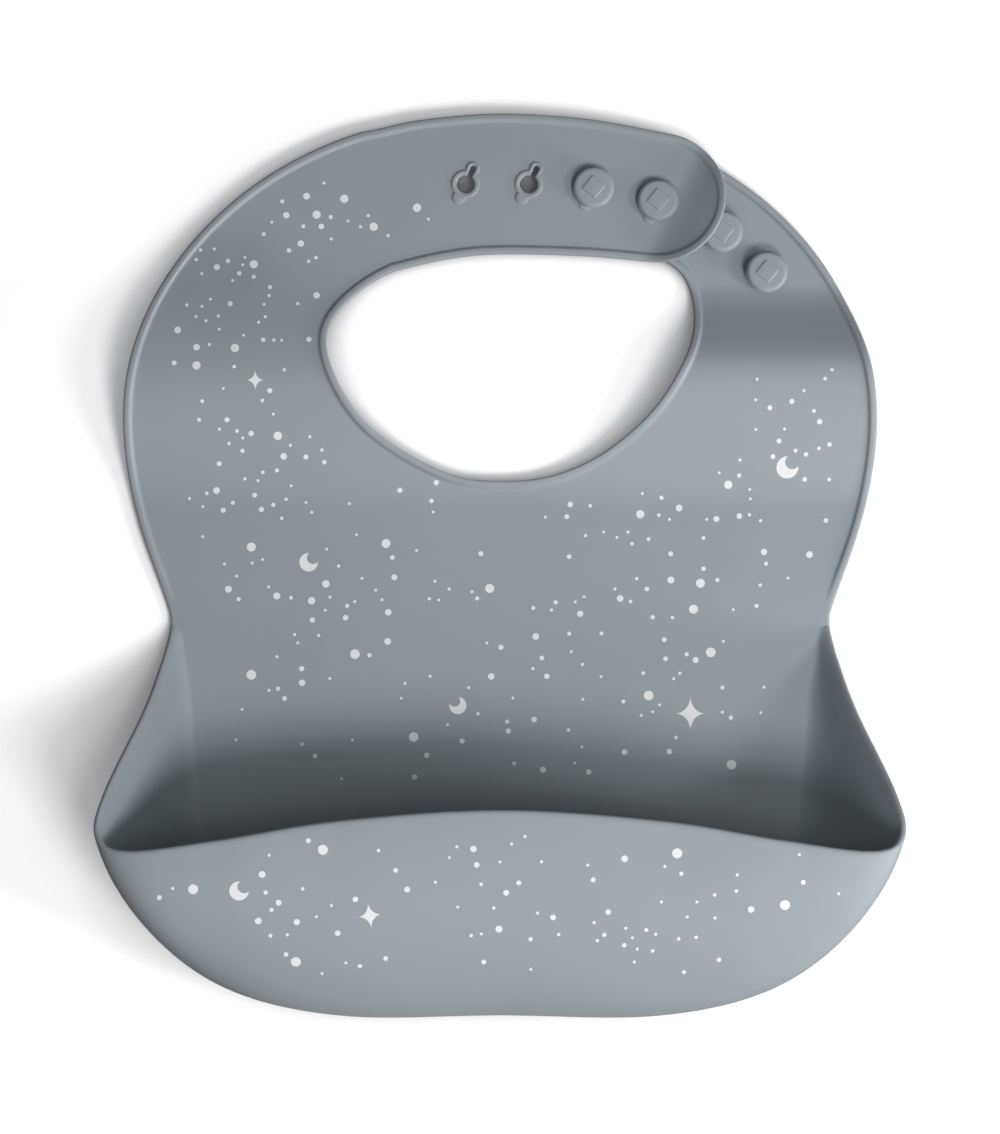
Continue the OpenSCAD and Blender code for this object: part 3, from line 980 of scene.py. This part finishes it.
def bend_pocket(obj):
    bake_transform(obj)


# ---- Print ----

# How far the scattered dots keep from the seams of the chest
SEAM_MARGIN = 1.5


def print_on_left(rng):
    printer = Printer("print_left_shoulder", left_arm)
    printer.add("star", -70.2, -3.2, 3.0)
    place(printer, 1.2, [(-71, 30.5), (-87, 1), (-76, 6), (-64, -19)])
    scatter(printer, rng, [
        (-70, 22, 11, 9, 24, 1.0), (-80, 8, 8, 8, 12, 1.0), (-74, -10, 9, 7, 12, 0.8),
        (-70, -28, 12, 8, 26, 1.0), (-40, -39, 14, 4, 6, 1.1)])
    return printer.done()


def print_on_strap(rng):
    printer = Printer("print_keyhole_strap", strap)
    place(printer, 1.2, [(-45, 49.6), (-36.5, 41.5), (-53, 45), (-24, 47)])
    scatter(printer, rng, [(-44, 44, 14, 6, 13, 1.0), (-60, 37, 8, 5, 6, 1.0)])
    return printer.done()


def print_on_right(rng):
    printer = Printer("print_right_shoulder", right_arm)
    printer.add("moon", 83.0, -28.0, 3.2, math.radians(48))
    place(printer, 1.2, [(40.6, -41.5), (66, -33)])
    scatter(printer, rng, [
        (84, -12, 8, 8, 14, 0.8), (78, -32, 12, 7, 14, 0.9), (50, -40, 14, 3, 7, 1.0),
        (14, -42, 9, 2, 4, 1.0)])
    return printer.done()


def print_on_chest(rng):
    printer = Printer("print_chest", chest)
    printer.add("moon", -55.4, -55.4, 2.7, math.radians(45))
    place(printer, 1.3, [(-72, -51), (-33, -50), (-3, -63), (58, -61.5), (56, -69)])
    scatter(printer, rng, [
        (-58, -57, 18, 8, 13, 1.1), (0, -58, 30, 8, 26, 1.1), (60, -58, 18, 8, 14, 1.0),
        (0, -68, 45, 4, 14, 0.9)], LAP_Z + SEAM_MARGIN, SEAM_Z - SEAM_MARGIN)
    return printer.done()


def print_on_pocket(rng):
    printer = Printer("print_pocket", pocket)
    printer.add("moon", -12.2, -96.9, 2.5, math.radians(125))
    printer.add("star", 55.1, -99.2, 5.0)
    printer.add("moon", -72.3, -146.5, 2.7, math.radians(40))
    printer.add("star", -36.2, -153.6, 3.8, math.radians(8))
    place(printer, 1.4, [
        (-42, -82), (61, -81.5), (-72, -88), (43, -94), (-25, -106), (67, -114), (-85, -146),
        (-49, -135), (-57, -167), (49, -136), (79, -150.5)])
    scatter(printer, rng, [
        (0, -82, 48, 5, 26, 1.0), (0, -94, 48, 6, 22, 1.0), (0, -108, 46, 6, 22, 0.9),
        (-70, -146, 15, 8, 9, 1.1), (-30, -146, 22, 9, 20, 1.0), (25, -148, 24, 9, 28, 1.0),
        (70, -148, 16, 8, 9, 1.1), (-35, -164, 26, 4, 6, 0.9), (25, -164, 25, 4, 8, 0.9)],
        -999, LAP_Z - SEAM_MARGIN)
    return printer.done()


dots = random.Random(12)
printed = [(print_on_left(dots), bend_left), (print_on_strap(dots), bend_strap),
           (print_on_right(dots), bend_right), (print_on_chest(dots), bend_waist),
           (print_on_pocket(dots), bend_pocket)]
for piece, bend in printed:
    dress(piece, ink)
    bend(piece)

skins = [(left_arm, bend_left), (right_arm, bend_right), (chest, bend_waist), (pocket, bend_pocket),
         (strap, bend_strap)]
for skin, bend in skins:
    dress(skin, silicone)
    bend(skin)

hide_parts("left_shoulder", "chest_panel")
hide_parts("keyhole_strap")
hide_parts("right_shoulder", "button_strap")
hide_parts("chest_print", "apron_print")
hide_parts("lower_panel", "pocket_front_wall", "pocket_floor", "left_gusset", "right_gusset",
            "pocket_rim")

for k, centre in enumerate(KEYHOLES, 1):
    collar = build_collar(f"keyhole_collar_{k}", centre)
    dress(collar, silicone)
    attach(collar, "keyhole_strap_end")
    if k == 1:
        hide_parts("keyhole_collars")

for k in STUD_NUMBERS:
    node = f"closure_button_{k}"
    stud, centre, face = build_stud(f"stud_{k}", node)
    pad = build_pad(f"stud_pad_{k}", centre, face)
    for obj in (stud, pad):
        dress(obj, silicone)
        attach(obj, "button_shoulder")
    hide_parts(node)


# ---- Stage, light and camera ----

def build_stage():
    """The pale surface that the bib lies against."""
    far = 4000
    gap = 0.6
    bm = bmesh.new()
    add_rows(bm, [[(x, gap, -far), (x, gap, far)] for x in (far, -far)])
    obj = finish_surface("backdrop", bm)
    obj.data.materials.append(backdrop_material())
    obj.visible_shadow = False
    obj.visible_diffuse = False
    obj.visible_glossy = False
    obj.visible_transmission = False


def area_light(name, place, aim, size, power, color):
    data = bpy.data.lights.new(name, "AREA")
    data.shape = "DISK"
    data.size = size
    data.energy = power
    data.color = color
    obj = bpy.data.objects.new(name, data)
    obj.location = place
    obj.rotation_euler = (Vector(aim) - Vector(place)).to_track_quat("-Z", "Y").to_euler()
    bpy.context.scene.collection.objects.link(obj)


def build_light():
    """A white surround and soft lamps, most of them low on the right as in daylight from a window."""
    world = bpy.data.worlds.new("studio")
    world.use_nodes = True
    background = world.node_tree.nodes["Background"]
    background.inputs["Color"].default_value = (1.0, 1.0, 1.0, 1)
    paths = world.node_tree.nodes.new("ShaderNodeLightPath")
    strength = ranged(world.node_tree, paths.outputs["Is Camera Ray"], 0.11, 1.0)
    world.node_tree.links.new(strength, background.inputs["Strength"])
    bpy.context.scene.world = world
    centre = (0, 0, -0.05)
    area_light("window", (1.1, -0.26, -0.5), centre, 0.3, 7.2, (1.0, 0.995, 0.98))
    area_light("side", (1.0, -0.75, -0.38), centre, 0.3, 5.2, (1.0, 1.0, 0.99))
    area_light("low", (0.3, -0.72, -0.5), (0, 0, -0.12), 0.3, 4.0, (1.0, 1.0, 1.0))
    area_light("front", (0.4, -1.15, -0.1), centre, 0.5, 2.5, (1.0, 1.0, 1.0))
    area_light("fill", (-0.7, -0.9, 0.5), centre, 0.6, 0.4, (0.96, 0.98, 1.0))
    area_light("rear", (0.5, 1.6, 0.8), centre, 1.6, 40, (1.0, 1.0, 1.0))


def build_camera():
    """Looks straight at the front from one metre, a little below the neck opening's middle."""
    distance = 1.0
    frame_height = 0.32886
    data = bpy.data.cameras.new("camera")
    data.lens = data.sensor_width * distance / frame_height
    data.clip_start = 0.05
    obj = bpy.data.objects.new("camera", data)
    obj.location = (0, -distance, -0.0568)
    obj.rotation_euler = (math.radians(90), 0, 0)
    bpy.context.scene.collection.objects.link(obj)
    bpy.context.scene.camera = obj


build_stage()
build_light()
build_camera()
bpy.context.scene.view_settings.view_transform = "Standard"
